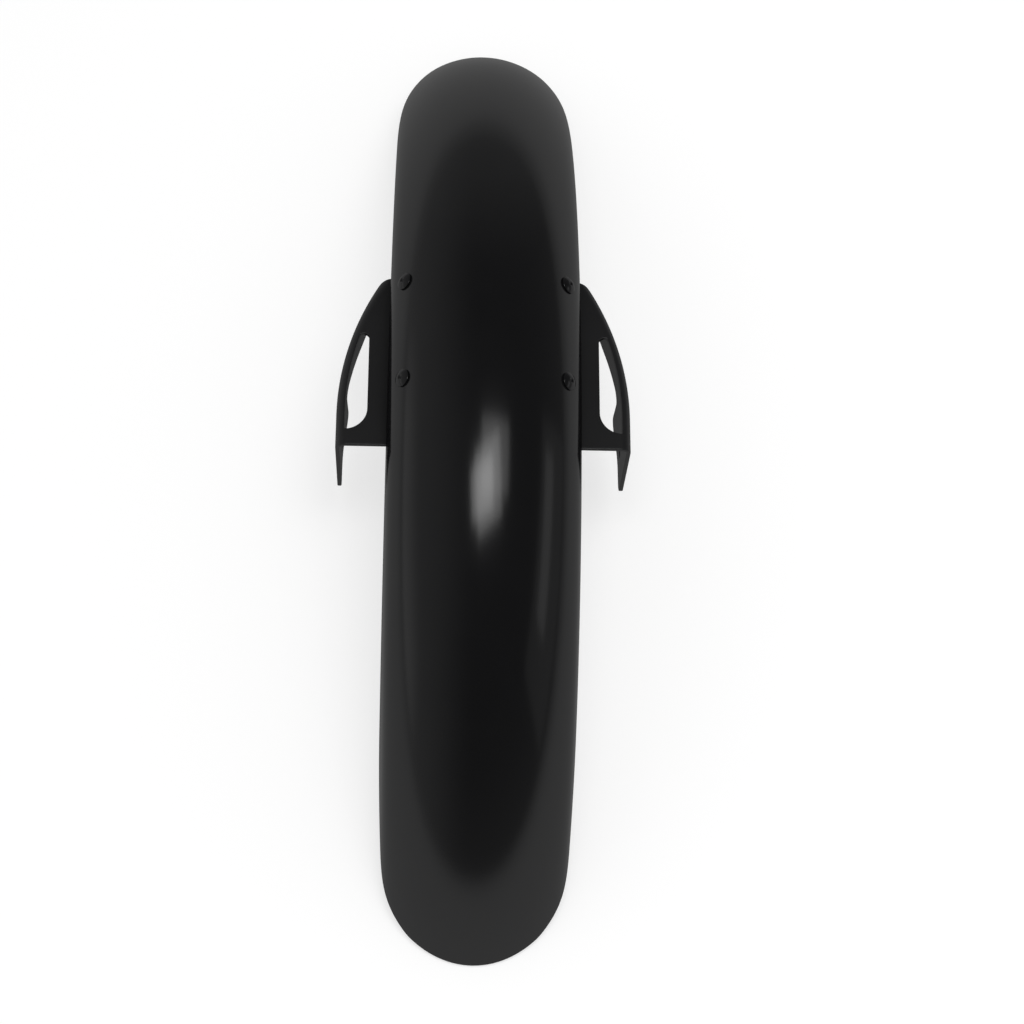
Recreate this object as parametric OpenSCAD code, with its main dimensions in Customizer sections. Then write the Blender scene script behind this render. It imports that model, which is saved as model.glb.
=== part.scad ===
// Motorcycle front mudguard: a pressed steel shell on two riveted fork brackets.
// X points forward, Y to the rider's left, Z up along the fork line. Units are mm.
// The crown follows a circle about the wheel axle, and Z = 0 lies at the lowest point of the two tips.

/* [Shell] */
// Radius of the crown line about the wheel axle
arc_r = 350; // [330:1:370]
// Half of the arc that the shell covers, measured from the fork line
half_arc = 63; // [60:0.5:68]
// Width across the shoulders
guard_w = 115; // [111:0.5:119]
// Radius of the shoulders
shoulder_r = 27.5; // [24:0.5:31]
// Angle at which the crown hands over to the shoulder
turn_a = 50.5; // [48:0.5:54]
// Splay of the skirts
draft_a = 6; // [4:0.5:8]
// Depth of the skirts below the crown at the fork line
skirt_h = 47; // [45:0.5:50]
// How far the circle of the lower edge lies ahead of the axle
edge_x = 17.5; // [12:0.5:24]
// Radius of the end curve behind the skirts, seen from the side
rear_r = 350; // [300:5:420]
// Radius of the front tip, seen square to the crown
front_tip_r = 50; // [48:0.5:56]
// Radius of the rear tip, seen square to the crown
rear_tip_r = 80; // [74:0.5:90]
// Sheet thickness of the shell
shell_t = 1.5; // [1.2:0.1:1.8]
// Width of the folded hem round the edge
hem_w = 7; // [5:0.5:9]

/* [Brackets] */
// Sheet thickness of the brackets
bracket_t = 2.5; // [2:0.1:3]
// Width over the two fork plates
plate_span = 178.5; // [175:0.5:185]
// Angle of the middle of the bracket ahead of the fork line
bracket_a = 7.3; // [6.6:0.1:8]
// Depth of the shelf below the crown
shelf_drop = 64; // [62:0.5:68]
// Reach of the seat flange ahead of the middle of the bracket
flange_reach = 56; // [50:0.5:58]
// Slope at which the seat flange begins under the crown
flange_a = 36; // [32:0.5:40]
// Inside radius of the bends
bend_r = 4; // [3:0.5:5]
// Share of the shelf's width that lies between the fold at the shell and the window
web_part = 0.42; // [0.38:0.01:0.46]
// Radius of the window's rear inner corner
window_r = 14; // [11:0.5:15]
// Strip that the window leaves along the outer face
rim_w = 5; // [4.6:0.1:6]

/* [Fork holes] */
// Radius of the fork bolt holes
fork_hole_r = 4.5; // [4:0.1:5]
// Distance between the two holes of a plate
hole_pitch = 36; // [33:0.5:38]
// Depth of the lower hole below the shelf
hole_drop = 54; // [52:0.5:56]

/* [Rivets] */
// Radius of the rivet heads
head_r = 5.5; // [4.5:0.1:6]
// Height of the rivet heads
head_h = 2.3; // [1.8:0.1:2.8]
// Radius of the rivet shanks
shank_r = 2.4; // [2:0.1:2.8]
// Angle between the two rivets of a side
rivet_gap_a = 11.5; // [10.8:0.1:12.2]
// Slope of the shell at the rivets
rivet_a = 47.5; // [46:0.5:49]

/* [Clearances] */
// Gap between pieces that lie on each other
seat_gap = 0.3; // [0.2:0.05:0.4]
// Gap between a rivet shank and its hole
shank_gap = 0.2; // [0.1:0.05:0.3]

/* [Hidden] */
$fn = 124;

// Height of the axle below the lowest point of the tips, and radius of the lower edge
axle_z = (arc_r - 2 * shell_t) * cos(half_arc);
edge_r = arc_r - skirt_h;
// How deep the end cuts dip into the circle of the lower edge, so that they cross it
dip = 0.05;
end_c = edge_r + rear_r - dip;
// Crown radius that meets the shoulder radius at turn_a
crown_r = shoulder_r + (guard_w / 2 - shoulder_r * cos(draft_a)) / sin(turn_a);
crown_c = arc_r - crown_r;

// Seat flange of a bracket: it follows the crown, then turns down tighter than the shell
seat_r = crown_r - shell_t - seat_gap;
fold_r = 10;
fold_a = turn_a + 1;
fold_y = (seat_r - fold_r) * sin(fold_a) + fold_r;
// Height of the shelf, of the fold's joint with the flange and of the lower hole above the axle
shelf_z = arc_r - shelf_drop;
fold_z = shelf_z + bend_r;
hole_z = shelf_z - hole_drop;
// Outer radius of a bend, outer face of the fork plates, and inner side of the window
bend_o = bend_r + bracket_t;
plate_y = plate_span / 2;
window_y = fold_y + bend_r + web_part * (plate_y - fold_y - bend_r);
strip_w = bend_o + 1.5;
// Height of the top of the bracket's outlines above the shelf, and a width that passes both plates
top_z = shelf_z + 59;
past_y = plate_span + 20;

// Outer line of the bracket from above: straight, then one arc, cut off by the front edge
run_back = -70;
run_front = -34;
turn_r = 184;
turn_end = 38;
turn_c = [run_front, plate_y - turn_r];
front_x = 59;

// Arc about c from angle a to angle b in n steps, angles from the first axis
function arc(c, r, a, b, n) = [for (i = [0:n]) let (t = a + (b - a) * i / n) c + r * [cos(t), sin(t)]];
// The same with bearings from the second axis
function bow(c, r, a, b, n) = [for (i = [0:n]) let (t = a + (b - a) * i / n) c + r * [sin(t), cos(t)]];
function unit(v) = v / norm(v);
function flip(p) = [for (i = [len(p) - 1:-1:0]) p[i]];
function mirrored(p) = [for (q = p) [q[0], -q[1]]];

// Corner q between the neighbours p and s, rounded to radius r in n steps
function corner(p, q, s, r, n = 6) =
  let (u = unit(p - q), v = unit(s - q), w = unit(u + v), h = acos(u * v) / 2)
  let (c = q + w * r / sin(h), a = atan2(-w[1], -w[0]), k = cross(u, v) > 0 ? 1 : -1)
  arc(c, r, a + k * (90 - h), a - k * (90 - h), n);
// Closed outline with each corner rounded to its own radius
function rounded(p, r) = let (m = len(p))
  [for (i = [0:m - 1]) each corner(p[(i + m - 1) % m], p[i], p[(i + 1) % m], r[i])];

// Foot of a tip seen from the side, on the inner face of the hem and m along the crown from the end
function tip(m) = let (a = half_arc - m / arc_r * 180 / PI) (arc_r - 2 * shell_t) * [sin(a), cos(a)];
// Bearing at which the straight front cut through that tip leaves the lower edge, moved in by m
function front_bearing(m) = let (q = tip(m) - [edge_x, 0]) atan2(q[1], q[0]) + acos((edge_r + m - dip) / norm(q));
// The same for the rear arc
function rear_bearing(m) = let (q = tip(m) + [edge_x, 0])
  180 - atan2(q[1], q[0]) - acos((q * q + end_c * end_c - pow(rear_r - m, 2)) / (2 * norm(q) * end_c));

// Half of the shell's section, o under the outer face, as [radius, width] from the crown down
function half_line(o) =
  let (s = [crown_c, 0] + (crown_r - shoulder_r) * [cos(turn_a), sin(turn_a)])
  let (foot = s + (shoulder_r - o) * [sin(draft_a), cos(draft_a)])
  let (low = edge_r - edge_x - 12)
  concat(arc([crown_c, 0], crown_r - o, 0, turn_a, 11),
         arc(s, shoulder_r - o, turn_a + 7, 90 - draft_a, 3),
         [[low, foot[1] + (foot[0] - low) * tan(draft_a)]]);
// Whole section between the depths o1 and o2
function section(o1, o2) = let (a = half_line(o1), b = half_line(o2))
  concat(flip(mirrored(a)), [for (i = [1:len(a) - 1]) a[i]], flip(b), [for (i = [1:len(b) - 1]) mirrored(b)[i]]);

// Section of the seat flange, d under its outer face
function flange_line(d) = let (s = [crown_c, 0] + (seat_r - fold_r) * [cos(fold_a), sin(fold_a)])
  concat(arc([crown_c, 0], seat_r - d, flange_a, fold_a, 5), arc(s, fold_r - d, fold_a + 8.5, 90, 3),
         [[shelf_z - 2, fold_y - d]]);

// Section of the rolled outer rim with its outer face at radius r, down to the height z
function rim_line(r, z) = concat(
  [[r, z]], arc([r - bend_o, shelf_z - bend_o], bend_o, 0, 90, 6), [[r - strip_w, shelf_z]],
  [[r - strip_w, shelf_z - bracket_t]],
  arc([r - bend_o, shelf_z - bend_o], bend_r, 90, 0, 6), [[r - bracket_t, z]]);

// Things drawn in the side view (X, Z) and given a width along Y
module side(w) {
  rotate([90, 0, 0]) linear_extrude(w, center = true) children();
}

// Part of the side view that the shell keeps, with its edge moved in by m
module side_field(m) {
  difference() {
    circle(arc_r + 2);
    translate([edge_x, 0]) circle(edge_r + m);
    translate([edge_x, 0]) rotate(front_bearing(m) - 90) translate([0, -500])
      square([500, 500 + edge_r + m - dip]);
    translate([edge_x, 0]) rotate(rear_bearing(m) - 90) difference() {
      translate([-500, -500]) square([500, 1000]);
      translate([0, end_c]) circle(rear_r - m);
    }
    translate([-500, -500]) square([1000, 500]);
  }
}

// What the round cut square to the sheet takes off the front tip, moved in by m
module tip_cut(r, m) {
  rotate([0, half_arc, 0]) translate([0, 0, arc_r - 40]) linear_extrude(50) difference() {
    translate([-28, -80]) square([90, 160]);
    translate([-r, 0]) circle(r - m);
  }
}

// Both tip cuts
module tip_cuts(m) {
  tip_cut(front_tip_r, m);
  mirror([1, 0, 0]) tip_cut(rear_tip_r, m);
}

// Revolves a section given as [radius, width] about the axle, from angle a to angle b off the Z axis
module about_axle(a, b) {
  rotate([90, 0, 0]) rotate([0, 0, 90 - b]) rotate_extrude(angle = b - a) children();
}

// Puts a piece on the shell's outer face at a rivet, s = 1 left and -1 right
module at_rivets(s) {
  for (k = [-1, 1]) rotate([0, bracket_a + k * rivet_gap_a / 2, 0])
    translate([0, 0, crown_c]) rotate([-s * rivet_a, 0, 0]) translate([0, 0, crown_r]) children();
}

module shank_hole() {
  translate([0, 0, -12]) cylinder(h = 20, r = shank_r + shank_gap, $fn = 32);
}

// One sheet: trimmed to the side outline, with its rim doubled inwards as a closed hem
module shell() {
  color([0.03, 0.03, 0.03]) translate([0, 0, -axle_z]) difference() {
    intersection() {
      about_axle(-half_arc - 2, half_arc + 2) polygon(section(0, 2 * shell_t));
      side(guard_w + 60) side_field(0);
    }
    difference() {
      intersection() {
        about_axle(-half_arc - 4, half_arc + 4) polygon(section(shell_t, 2 * shell_t + 3));
        side(guard_w + 60) side_field(hem_w);
      }
      tip_cuts(hem_w);
    }
    tip_cuts(0);
    at_rivets(1) shank_hole();
    at_rivets(-1) shank_hole();
  }
}

// Rolled rim and plate wall along the outer line, down to the height z
module rim(z) {
  translate([run_front, plate_y, 0]) {
    rotate([90, 0, -90]) mirror([1, 0, 0]) linear_extrude(run_front - run_back) polygon(rim_line(0, z));
    mirror([1, 0, 0]) translate([0, -turn_r, 0]) rotate([0, 0, 90]) rotate_extrude(angle = turn_end)
      polygon(rim_line(turn_r, z));
  }
}

// Flat of the shelf, up to the middle of the rim's flat strip
module shelf_plan() {
  k = strip_w - 0.7;
  y0 = fold_y + bend_r + 1;
  polygon(concat([[run_back, y0], [run_back, plate_y - k]], bow(turn_c, turn_r - k, 0, 33, 12), [[front_x + 9, y0]]));
}

// Half-moon window: straight along the shell, following the outer line on the other side
module window_plan() {
  x0 = -46;
  difference() {
    polygon(concat(
      corner([0, window_y], [x0, window_y], [x0, plate_y], window_r),
      [[x0, plate_y], [22, plate_y]],
      corner([17, plate_y], [20, window_y + 2.6], [18, window_y], 3, 4),
      corner([20, window_y + 2.6], [18, window_y], [0, window_y], 2, 4)));
    difference() {
      translate([-60, plate_y - 30]) square([100, 40]);
      translate(turn_c) circle(turn_r - rim_w, $fn = 360);
      translate([-70, plate_y - rim_w - 50]) square([70 + run_front, 50]);
    }
  }
}

// What the front edge cuts off, seen from above, with the corner left rounded
module front_cut() {
  start = [front_x - 57, plate_y + 9.45];
  polygon(concat(flip(corner(start, [front_x, plate_y - 24.75], [front_x, 0], 10)),
    [start, [front_x + 60, past_y], [front_x + 60, -20], [front_x, -20]]));
}

// Side view of the bracket: it narrows to the fork plate below the shelf
module bracket_field() {
  drops = [top_z - shelf_z, -68, -75, -78, -39, -39, -20, top_z - shelf_z];
  along = [-17, -24, 8, 28, 28.5, 66, 104, 104];
  polygon(rounded([for (i = [0:7]) [along[i], shelf_z + drops[i]]], [4, 9, 12, 10, 8, 30, 6, 6]));
}

// Left bracket: seat flange under the shoulder, fold, shelf with its window, rolled rim, fork plate
module left_bracket() {
  color([0.03, 0.03, 0.03]) translate([0, 0, -axle_z]) difference() {
    intersection() {
      rotate([0, bracket_a, 0]) difference() {
        union() {
          intersection() {
            about_axle(-90, 90) polygon([for (q = concat(flange_line(0), flip(flange_line(bracket_t)))) [q[0], -q[1]]]);
            side(past_y) polygon(concat([[-80, fold_z], [-80, top_z]],
              corner([-80, top_z], [flange_reach, top_z], [flange_reach, fold_z], 25), [[flange_reach, fold_z]]));
          }
          rotate([90, 0, 90]) translate([0, 0, run_back]) linear_extrude(front_x + 9 - run_back) fold_section();
          translate([0, 0, shelf_z - bracket_t]) linear_extrude(bracket_t) shelf_plan();
          rim(shelf_z - 96);
        }
        translate([0, 0, shelf_z - 20]) linear_extrude(30) window_plan();
        translate([0, 0, shelf_z - 110]) linear_extrude(180) front_cut();
      }
      side(2 * past_y) bracket_field();
    }
    for (k = [0, 1]) translate([0, 0, hole_z + k * hole_pitch]) rotate([-90, 0, 0])
      cylinder(h = past_y, r = fork_hole_r, $fn = 48);
    at_rivets(1) shank_hole();
  }
}

// Fold between the seat flange and the shelf
module fold_section() {
  c = [fold_y + bend_r, shelf_z + bend_r];
  polygon(concat(arc(c, bend_r, 180, 270, 6),
    [[c[0] + 2, shelf_z], [c[0] + 2, shelf_z - bracket_t]],
    arc(c, bend_o, 270, 180, 6)));
}

module right_bracket() {
  mirror([0, 1, 0]) left_bracket();
}

// One rivet: domed head outside, shank through both sheets, set tail inside
module rivet() {
  grip = shell_t + bracket_t + 2 * seat_gap;
  tail_r = shank_r + 1.6;
  rim_h = 0.5;
  cap = head_h - rim_h;
  ball = (head_r * head_r + cap * cap) / (2 * cap);
  rotate_extrude($fn = 40) polygon(concat(
    arc([0, seat_gap + head_h - ball], ball, 90, acos(head_r / ball), 6),
    [[head_r, seat_gap], [shank_r, seat_gap], [shank_r, -grip], [tail_r, -grip], [tail_r, -grip - 1.2],
     [tail_r - 0.8, -grip - 2], [0, -grip - 2]]));
}

module rivets() {
  color([0.03, 0.03, 0.03]) translate([0, 0, -axle_z]) {
    at_rivets(1) rivet();
    at_rivets(-1) rivet();
  }
}

shell();
left_bracket();
right_bracket();
rivets();
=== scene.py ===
"""Motorcycle front mudguard on a plain studio floor.

A pressed and painted steel shell, its two fork brackets and four rivets.
"""
import math

import bmesh
import bpy
import numpy as np
from bpy.props import FloatProperty, FloatVectorProperty, IntProperty, PointerProperty
from bpy.types import Operator, Panel, PropertyGroup
from mathutils import Matrix


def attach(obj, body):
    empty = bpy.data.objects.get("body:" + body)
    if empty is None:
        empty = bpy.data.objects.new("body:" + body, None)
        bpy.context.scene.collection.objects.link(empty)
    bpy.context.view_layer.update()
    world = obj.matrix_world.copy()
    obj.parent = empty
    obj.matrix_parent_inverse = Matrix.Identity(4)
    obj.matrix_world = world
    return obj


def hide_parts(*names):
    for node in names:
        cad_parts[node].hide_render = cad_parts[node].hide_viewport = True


bl_info = {
    "name": "Front Mudguard",
    "version": (1, 0, 0),
    "blender": (4, 5, 0),
    "location": "View3D > Sidebar > Mudguard",
    "description": "Builds a painted steel front mudguard with riveted fork brackets",
    "category": "Object",
}

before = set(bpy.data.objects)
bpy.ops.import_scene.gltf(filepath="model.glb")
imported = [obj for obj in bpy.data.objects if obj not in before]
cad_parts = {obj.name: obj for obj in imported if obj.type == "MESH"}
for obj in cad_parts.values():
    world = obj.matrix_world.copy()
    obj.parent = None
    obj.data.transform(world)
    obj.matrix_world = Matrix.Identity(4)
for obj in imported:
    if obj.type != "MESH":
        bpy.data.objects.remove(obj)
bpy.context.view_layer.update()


def length(name, text, metres):
    """Property that holds a length."""
    return FloatProperty(name=name, description=text, default=metres, unit="LENGTH")


def degrees(name, text, number):
    """Property that holds an angle, given in degrees."""
    return FloatProperty(name=name, description=text, default=math.radians(number),
                         unit="ROTATION")


def share(name, text, number):
    """Property that holds a share of one."""
    return FloatProperty(name=name, description=text, default=number, min=0.0, max=1.0)


class ShellSizes(PropertyGroup):
    """Sizes of the shell"""
    crown_radius: length("Crown Radius", "Radius of the crown line about the wheel axle", 0.350)
    half_arc: degrees("Half Arc", "Half of the arc that the shell covers", 63)
    width: length("Width", "Width across the shoulders", 0.115)
    shoulder_radius: length("Shoulder Radius", "Radius of the shoulders", 0.0275)
    turn: degrees("Crown Slope", "Slope at which the crown hands over to the shoulder", 50.5)
    splay: degrees("Splay", "Splay of the skirts", 6)
    skirt: length("Skirt Depth", "Depth of the skirts below the crown", 0.047)
    edge_ahead: length("Edge Ahead",
                       "How far the circle of the lower edge lies ahead of the axle", 0.0175)
    rear_curve: length("Rear Curve", "Radius of the end curve behind the skirts", 0.350)
    front_tip: length("Front Tip", "Radius of the front tip", 0.050)
    rear_tip: length("Rear Tip", "Radius of the rear tip", 0.080)
    sheet: length("Sheet", "Thickness of the sheet", 0.0015)
    hem: length("Hem", "Width of the folded hem", 0.007)
    flow: length("Flow", "Girth over which one curve of the section flows into the next", 0.012)
    stations: IntProperty(name="Stations",
                          description="Lines across the shell", default=240)


class BracketSizes(PropertyGroup):
    """Sizes of the two brackets"""
    sheet: length("Sheet", "Thickness of the sheet", 0.0025)
    plate_span: length("Plate Span", "Width over the two fork plates", 0.1785)
    middle: degrees("Middle", "Angle of the middle of the bracket ahead of the fork line", 7.3)
    shelf_drop: length("Shelf Drop", "Depth of the shelf below the crown", 0.064)
    flange_slope: degrees("Flange Slope",
                          "Slope at which the seat flange begins under the crown", 36)
    flange_reach: length("Flange Reach", "Reach of the seat flange ahead of the middle", 0.056)
    flange_corner: length("Flange Corner",
                          "Radius of the upper front corner of the seat flange", 0.014)
    fold_radius: length("Knee Radius", "Radius at which the seat flange turns down", 0.010)
    bend_radius: length("Bend Radius", "Inside radius of the bends", 0.004)
    web_part: share("Web Share",
                    "Share of the shelf's width between the fold and the window", 0.42)
    window_radius: length("Window Corner", "Radius of the window's rear inner corner", 0.014)
    rim_strip: length("Rim Strip", "Strip that the window leaves along the outer face", 0.005)
    front_reach: length("Front Reach", "Reach of the shelf ahead of the middle", 0.059)
    turn_start: length("Turn Start", "Place at which the outer line starts to turn in", -0.034)
    turn_radius: length("Turn Radius", "Radius of the outer line", 0.184)
    hole_radius: length("Hole Radius", "Radius of the fork bolt holes", 0.0045)
    hole_pitch: length("Hole Pitch", "Distance between the two holes of a plate", 0.036)
    hole_drop: length("Hole Drop", "Depth of the lower hole below the shelf", 0.054)
    soften: length("Edge Break", "Radius at which the paint rounds the cut edges", 0.0005)
    cell: length("Cell", "Width of the cells that the sheet is built of", 0.0012)


class RivetSizes(PropertyGroup):
    """Sizes and places of the rivets"""
    head_radius: length("Head Radius", "Radius of the heads", 0.0055)
    head_height: length("Head Height", "Height of the heads", 0.0023)
    dimple_radius: length("Dimple Radius", "Radius of the dimple in the heads", 0.0018)
    dimple_depth: length("Dimple Depth", "Depth of the dimple in the heads", 0.0009)
    shank_radius: length("Shank Radius", "Radius of the shanks", 0.0024)
    slope: degrees("Slope", "Slope of the shell at the rivets", 47.5)
    middle: degrees("Middle", "Angle ahead of the fork line of the middle of each pair", 7.3)
    spread: degrees("Spread", "Angle between the two rivets of a side", 11.5)
    gap: length("Gap", "Gap between pieces that lie on each other", 0.0003)


class PaintFinish(PropertyGroup):
    """Colours and gloss of the two finishes"""
    colour: FloatVectorProperty(
        name="Colour", description="Colour of the shell's paint",
        default=(0.0052, 0.0052, 0.0056), subtype="COLOR", size=3)
    roughness: share("Roughness", "Roughness of the shell's satin top coat", 0.15)
    stay_colour: FloatVectorProperty(
        name="Bracket Colour", description="Colour of the brackets' coating",
        default=(0.0098, 0.0098, 0.0103), subtype="COLOR", size=3)
    stay_roughness: share("Bracket Roughness", "Roughness of the brackets' coating", 0.36)
    coat: share("Coat", "Share of the top coat in both finishes", 0.17)


class StudioLook(PropertyGroup):
    """Floor and lamps of the studio"""
    floor_colour: FloatVectorProperty(
        name="Floor", description="Colour of the floor",
        default=(0.45, 0.45, 0.45), subtype="COLOR", size=3)
    floor_glow: FloatProperty(
        name="Floor Glow",
        description="Light that the floor adds, as the camera and the gloss see it",
        default=0.60)
    far_glow: FloatProperty(
        name="Far Glow", description="The same light far from the middle of the set",
        default=0.33)
    box_power: FloatProperty(
        name="Soft Boxes",
        description="Power of the soft boxes overhead in watts, all three together",
        default=10.4)
    ceiling: FloatProperty(
        name="Ceiling", description="Strength of the wide even light of the ceiling",
        default=1.35)


# tables and grids of the shell, in metres and lines
TABLE_GIRTH, TABLE_ROWS = 0.14, 5601  # girth and rows of the section's table, past every rim
RIM_ROWS = 6001  # rows of the rim's table
TIP_GIRTH, TIP_HALVINGS = 0.139, 48  # end and steps of the search for the tips' circles
TIP_ZONE = 0.028  # how far back from a tip its circle trims the sheet
UNTRIMMED = 1.0  # girth of a rim that a tip's circle doesn't trim
HEM_LINES, FOLD_LINES, LIP_LINES, FACE_LINES = 7, 13, 4, 61
POLE_STEP = 1e-3  # step of girth that stands for the rim's direction at the tips

# cut edge of the hem, in thicknesses of the sheet
LIP_ROUND = 0.25
FOOT_REACH, FOOT_TOP = 0.3, 1.15

# points closer than this are joined
SHELL_WELD, PIECE_WELD = 1e-6, 1e-7

# a bracket seen from the side: ahead of the fork line, above the shelf, corner radius
SIDE_OUTLINE = (
    (-0.017, 0.059, 0.004),
    (-0.024, -0.068, 0.009),
    (0.008, -0.075, 0.012),
    (0.028, -0.078, 0.010),
    (0.0285, -0.039, 0.008),
    (0.066, -0.039, 0.030),
    (0.104, -0.020, 0.006),
    (0.104, 0.059, 0.006),
)
CORNER_STEPS = 8
FOLD_EXTRA = math.radians(1)  # how much steeper than the crown's end the flange ends

# line that trims the shelf's front: length, its ends outside and inside the plate's face
BOW_LENGTH, BOW_START, BOW_END = 0.057, 0.00945, 0.02475
BOW_CORNER, BOW_STEPS = 0.010, 14
FAR_BACK, FAR_IN, FAR_OUT = 0.2, 0.1, 0.13  # sides of the plan that trim nothing

# window: its ends along the fold, the point of its front end, and the points past the rim
WINDOW_REAR, WINDOW_FRONT = -0.046, 0.018
NOSE_AHEAD, NOSE_OUT, NOSE_RADIUS = 0.002, 0.0026, 0.003
MOUTH_AHEAD, MOUTH_BACK = 0.004, 0.001
FRONT_RADIUS, REAR_STEPS, FRONT_STEPS = 0.002, 14, 5
WINDOW_BLEND = 0.002  # width over which the window's sides and its outer line blend
RIVET_PLAY = 0.0002  # play of the rivets in their holes

# grid of a bracket: ends along the fold, girth of the plate, a bend's share of a cell
GRID_REAR, GRID_FRONT, PLATE_GIRTH = -0.066, 0.0645, 0.078
BEND_CELL = 0.6
SNAP, SNAP_STEP, ON_EDGE = 0.3, 0.45, 0.02  # shares of a cell when corners move on to the edge
SLOPE_STEP = 2e-5  # step of the two parameters when the trim's slope is taken
EDGE_LINES = 5  # lines round each broken edge

# rivet: height and inset of the dome's foot, rounding of the rim, lines
DOME_FOOT, DOME_INSET, RIM_ROUND = 0.0006, 0.0003, 0.0004
DOME_LINES, RIM_LINES, RIVET_TURNS = 26, 8, 48
# set tail: its reach past the shank, and its profile as inset from there and depth
TAIL_REACH = 0.0016
TAIL = ((0.0002, 0.0), (0.0, 0.0002), (0.0, 0.0010), (0.0003, 0.0015), (0.0009, 0.0019),
        (0.0016, 0.0020))

# finishes: noise size and detail of the clouds, detail and height of the ripple
CLOUD_SCALE, CLOUD_DETAIL = 38.0, 3.0
PEEL_DETAIL, PEEL_HEIGHT = 2.0, 0.0004
BASE_ROUGHNESS, COAT_IOR = 0.6, 2.2

# overhead lamps: name, share of the power, x, y, height, width, depth, spin
SOFT_BOXES = (
    ("soft_box_core", 0.30, -0.129, 0.048, 1.69, 0.350, 0.602, 0.159),
    ("soft_box_body", 0.45, -0.095, -0.128, 1.70, 0.552, 0.694, 0.239),
    ("soft_box_side", 0.25, 0.090, -0.316, 1.71, 0.496, 0.794, 0.002),
)
# window light on the right: name, power in watts, width, height, place
WINDOWS = (
    ("window_strip", 0.9, 1.15, 0.36, (-0.22, -1.90, 0.88)),
    ("window_wall", 1.6, 2.0, 1.05, (-0.40, -1.95, 0.76)),
)
WINDOW_AIM = (0, 0, 0.13)
CEILING_SPREAD = math.radians(120)

# floor: half width, roughness, and the middle and reach of its glow
FLOOR_HALF, FLOOR_ROUGHNESS = 30, 0.9
GLOW_MIDDLE, GLOW_NEAR, GLOW_FAR = (0, 0.25, 0), 0.55, 2.6

# room light as smooth steps of the direction: axis, start, end, strength
WALL_STEPS = (("Y", 0.84, 0.98, 0.62), ("Z", 0.40, -0.05, 1.0))
ROOM_STEPS = (("Z", 0.78, -0.50, 0.25), ("X", 0.70, 1.0, 0.17), ("Y", 0.09, 1.0, 0.36))
ROOM_BASE = 0.065

# camera at the photograph's view: millimetres, metres and directions
SENSOR, LENS, CLIP = 36, 91.667, (0.05, 200)
CAMERA_PLACE = (-0.54671, 0.03669, 1.60984)
CAMERA_RIGHT, CAMERA_BACK = (0.0069, -0.9992, 0.0389), (-0.3124, 0.0348, 0.9493)


def loop_faces(stations, around):
    """Quads between the neighbouring stations of a grid, where each station is a closed loop."""
    number = np.arange(stations * around).reshape(stations, around)
    a, b = number[:-1], number[1:]
    return np.stack([a, np.roll(a, -1, 1), np.roll(b, -1, 1), b], -1).reshape(-1, 4)


def closed_mesh(name, points, faces, distance):
    """Mesh whose points closer than the distance are joined and whose faces point outwards.

    A station that has shrunk to one point becomes a pole. Each edge has to have two faces.
    """
    mesh = bpy.data.meshes.new(name)
    mesh.from_pydata(points, [], faces)
    mesh.validate()
    work = bmesh.new()
    work.from_mesh(mesh)
    bmesh.ops.remove_doubles(work, verts=work.verts, dist=distance)
    bmesh.ops.recalc_face_normals(work, faces=work.faces)
    closed = all(len(edge.link_faces) == 2 for edge in work.edges)
    work.to_mesh(mesh)
    work.free()
    mesh.update()
    if not closed:
        raise RuntimeError(name + " isn't closed")
    return mesh


def add_piece(name, mesh, finish, *nodes):
    """Adds the mesh in its finish, as a piece that rides on the root and stands for the nodes."""
    piece = bpy.data.objects.new(name, mesh)
    bpy.context.scene.collection.objects.link(piece)
    mesh.materials.clear()
    mesh.materials.append(finish)
    mesh.polygons.foreach_set("use_smooth", np.ones(len(mesh.polygons), bool))
    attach(piece, "root")
    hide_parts(*nodes)


def crown_section_radius(p):
    """Radius of the crown's section that meets the shoulder at the given slope."""
    half = p.width / 2 - p.shoulder_radius * math.cos(p.splay)
    return p.shoulder_radius + half / math.sin(p.turn)


def tip_height(p):
    """Height of the lowest point of the tips above the axle."""
    return (p.crown_radius - 2 * p.sheet) * math.cos(p.half_arc)


def section_table(p):
    """Table of the section by girth from the crown line: slope, distance to the side and depth.

    The slope grows evenly over the crown, faster over the shoulder and stays over the skirt,
    with a running mean over the flow length. Side and depth are the sums of its cosine and sine.
    """
    crown = crown_section_radius(p)
    end = math.pi / 2 - p.splay
    s1 = crown * p.turn
    s2 = s1 + p.shoulder_radius * (end - p.turn)
    girth = np.linspace(0.0, TABLE_GIRTH, TABLE_ROWS)
    half = p.flow / 2

    def ramp(s, start, rate):
        """Growth of the slope from the girth start on, averaged over the flow length."""
        t = np.clip((s - start + half) / (2 * half), 0, 1)
        return rate * (half * t * t + np.clip(s - start - half, 0, None))

    slope = (girth / crown + ramp(girth, s1, 1 / p.shoulder_radius - 1 / crown)
             - ramp(girth, s2, 1 / p.shoulder_radius))
    step = girth[1] - girth[0]
    middle = (slope[1:] + slope[:-1]) / 2
    side = np.concatenate([[0], np.cumsum(np.cos(middle) * step)])
    depth = np.concatenate([[0], np.cumsum(np.sin(middle) * step)])
    return girth, slope, side, depth


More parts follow.
